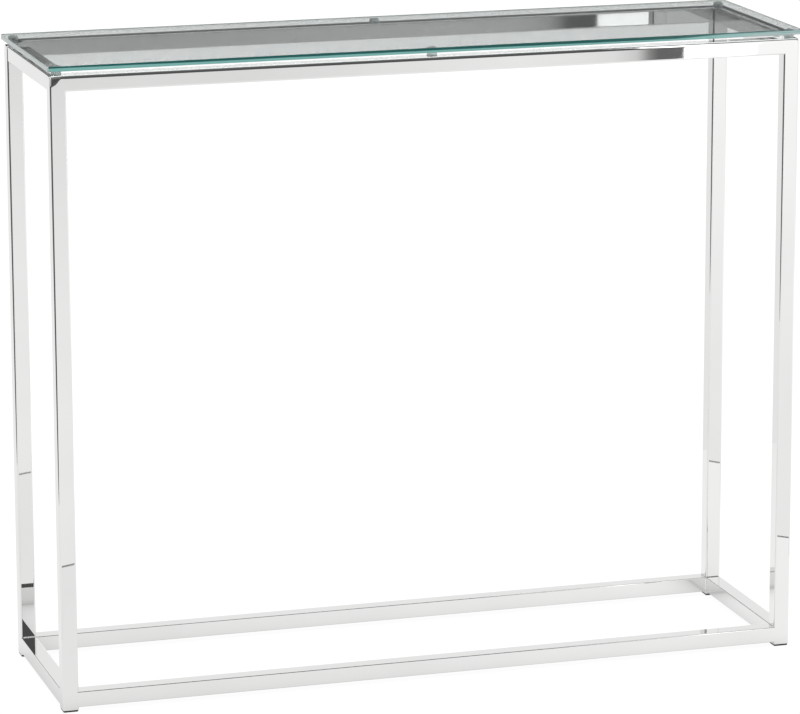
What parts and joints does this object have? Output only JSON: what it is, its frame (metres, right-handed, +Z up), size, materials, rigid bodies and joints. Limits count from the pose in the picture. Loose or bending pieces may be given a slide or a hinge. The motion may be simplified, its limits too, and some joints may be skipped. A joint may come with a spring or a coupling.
{
  "type": "console table",
  "caption": "Narrow rectangular console table: welded square-tube frame with top and bottom rails, mirror finish, and a clear loose glass top held off the frame by clear bumpers.",
  "frame": {"origin": "on the floor, under the centre of the table", "axes": "+X along the long side from left to right seen from the front, +Y from front to rear, +Z up"},
  "size_m": [0.9208, 0.2604, 0.7673],
  "materials": {
    "chrome": "bright chrome plate over polished steel tube",
    "glass": "clear float glass with ground and polished green edges",
    "clear_bumper": "clear soft polyurethane",
    "foot_plastic": "fine moulded texture"
  },
  "bodies": {
    "frame": {"leg_front_left": "chrome", "leg_front_right": "chrome", "leg_rear_left": "chrome", "leg_rear_right": "chrome", "leg_cap_front_left": "chrome", "leg_cap_front_right": "chrome", "leg_cap_rear_left": "chrome", "leg_cap_rear_right": "chrome", "top_rail_front": "chrome", "top_rail_rear": "chrome", "top_rail_left": "chrome", "top_rail_right": "chrome", "bottom_rail_front": "chrome", "bottom_rail_rear": "chrome", "bottom_rail_left": "chrome", "bottom_rail_right": "chrome", "foot_front_left": "foot_plastic", "foot_front_right": "foot_plastic", "foot_rear_left": "foot_plastic", "foot_rear_right": "foot_plastic", "bumper_front_left": "clear_bumper", "bumper_front_middle": "clear_bumper", "bumper_front_right": "clear_bumper", "bumper_rear_left": "clear_bumper", "bumper_rear_middle": "clear_bumper", "bumper_rear_right": "clear_bumper"},
    "glass_top": {"glass_top": "glass"}
  },
  "joints": [
    {"name": "glass_lift", "type": "slide", "parent": "frame", "child": "glass_top", "axis": [0, 0, 1], "range_m": [0, 0.12]}
  ]
}
